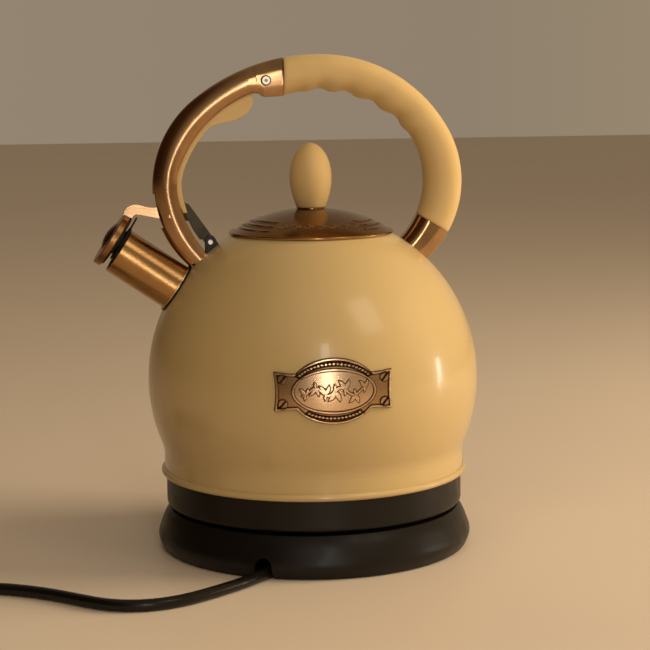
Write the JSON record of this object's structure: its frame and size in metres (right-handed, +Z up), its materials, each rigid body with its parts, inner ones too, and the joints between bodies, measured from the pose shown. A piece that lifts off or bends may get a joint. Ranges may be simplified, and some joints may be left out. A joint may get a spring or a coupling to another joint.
{
  "type": "electric kettle",
  "caption": "Cordless ball-shaped electric kettle with arched handle, trigger-opened spout cap, lift-off lid and round power base with coiled mains cord.",
  "frame": {"origin": "centre of the power base where its foot ring stands on the table", "axes": "+Z up; the spout points to -X, the handle stands in the XZ plane, the nameplate faces -Y"},
  "size_m": [0.399, 0.2528, 0.3123],
  "materials": {
    "cream_enamel": "warm cream gloss enamel on steel",
    "bronze": "brushed aged bronze plating",
    "light_bronze": "polished light bronze plating",
    "dark_bronze": "dark bronze, semi-gloss",
    "brass_trim": "bright brass",
    "steel": "plain stainless steel",
    "chrome": "bright plating",
    "aluminium": "cast aluminium",
    "copper": "bare contact metal",
    "cream_grip": "soft-touch cream",
    "black_plastic": "fine matte black",
    "black_gloss": "smooth black",
    "black_rubber": "black flexible plastic or rubber",
    "silicone": "translucent grey silicone",
    "lens": "amber indicator lens"
  },
  "bodies": {
    "power_base": {"base_cover": "black_plastic", "base_bottom_plate": "black_plastic", "base_foot_ring": "black_rubber", "base_screws": "steel", "base_connector": "black_plastic", "base_contacts": "copper", "cord_strain_relief": "black_rubber", "mains_cord": "black_rubber", "cord_coil": "black_rubber", "cord_tail": "black_rubber", "cord_tie": "black_plastic", "plug_body": "black_plastic", "plug_pins": "brass_trim"},
    "connector_ring": {"connector_guard_ring": "black_plastic"},
    "kettle": {"body_shell": "cream_enamel", "body_bead_ring": "cream_enamel", "neck_ring": "steel", "spout_tube": "bronze", "spout_flange": "brass_trim", "spout_gasket": "black_rubber", "spout_filter": "steel", "handle_channel": "bronze", "grip": "cream_grip", "grip_core": "black_plastic", "rear_ferrule": "bronze", "handle_foot_block": "black_plastic", "handle_bolts": "steel", "handle_screw": "chrome", "trigger_bracket": "black_plastic", "trigger_pin": "steel", "cap_pin": "steel", "return_spring": "steel", "nameplate": "light_bronze", "nameplate_screws": "bronze", "bottom_housing": "black_plastic", "housing_screws": "steel", "heating_plate": "steel", "plate_seal": "silicone", "heating_element": "aluminium", "thermostat_control": "black_plastic", "kettle_connector": "black_plastic", "steam_tube": "steel", "indicator_lens": "lens", "switch_bracket": "black_plastic", "switch_pin": "steel"},
    "lid": {"lid_cover": "dark_bronze", "lid_pan": "steel", "lid_skirt": "steel", "lid_seal": "silicone", "lid_knob": "cream_grip", "knob_screw": "steel"},
    "spout_cap": {"cap_arm": "light_bronze", "cap_disc": "bronze", "cap_dome": "dark_bronze", "whistle_body": "brass_trim", "cap_seal": "black_rubber", "link_pin": "steel"},
    "trigger": {"trigger_lever": "steel", "trigger_pad": "cream_grip"},
    "switch": {"switch_lever": "black_gloss"}
  },
  "joints": [
    {"name": "kettle_turn", "type": "hinge", "parent": "power_base", "child": "connector_ring", "pos_m": [0, 0, 0.028], "axis": [0, 0, 1], "continuous": true},
    {"name": "kettle_lift", "type": "slide", "parent": "connector_ring", "child": "kettle", "axis": [0, 0, 1], "range_m": [0, 0.1]},
    {"name": "lid_lift", "type": "slide", "parent": "kettle", "child": "lid", "axis": [0, 0, 1], "range_m": [0, 0.028]},
    {"name": "cap_hinge", "type": "hinge", "parent": "kettle", "child": "spout_cap", "pos_m": [-0.089, 0, 0.213], "axis": [0, 1, 0], "range_deg": [0, 24], "stiffness_Nm_per_rad": 0.08, "springref_deg": -11.46},
    {"name": "trigger_squeeze", "type": "hinge", "parent": "kettle", "child": "trigger", "pos_m": [-0.0645, 0, 0.196], "axis": [0, 1, 0], "range_deg": [-4.8, 0]},
    {"name": "switch_rock", "type": "hinge", "parent": "kettle", "child": "switch", "pos_m": [0, 0.084, 0.04], "axis": [-1, 0, 0], "range_deg": [0, 14]}
  ],
  "couplings": [
    {"joint": "trigger_squeeze", "follows": "cap_hinge", "ratio": -0.2}
  ]
}
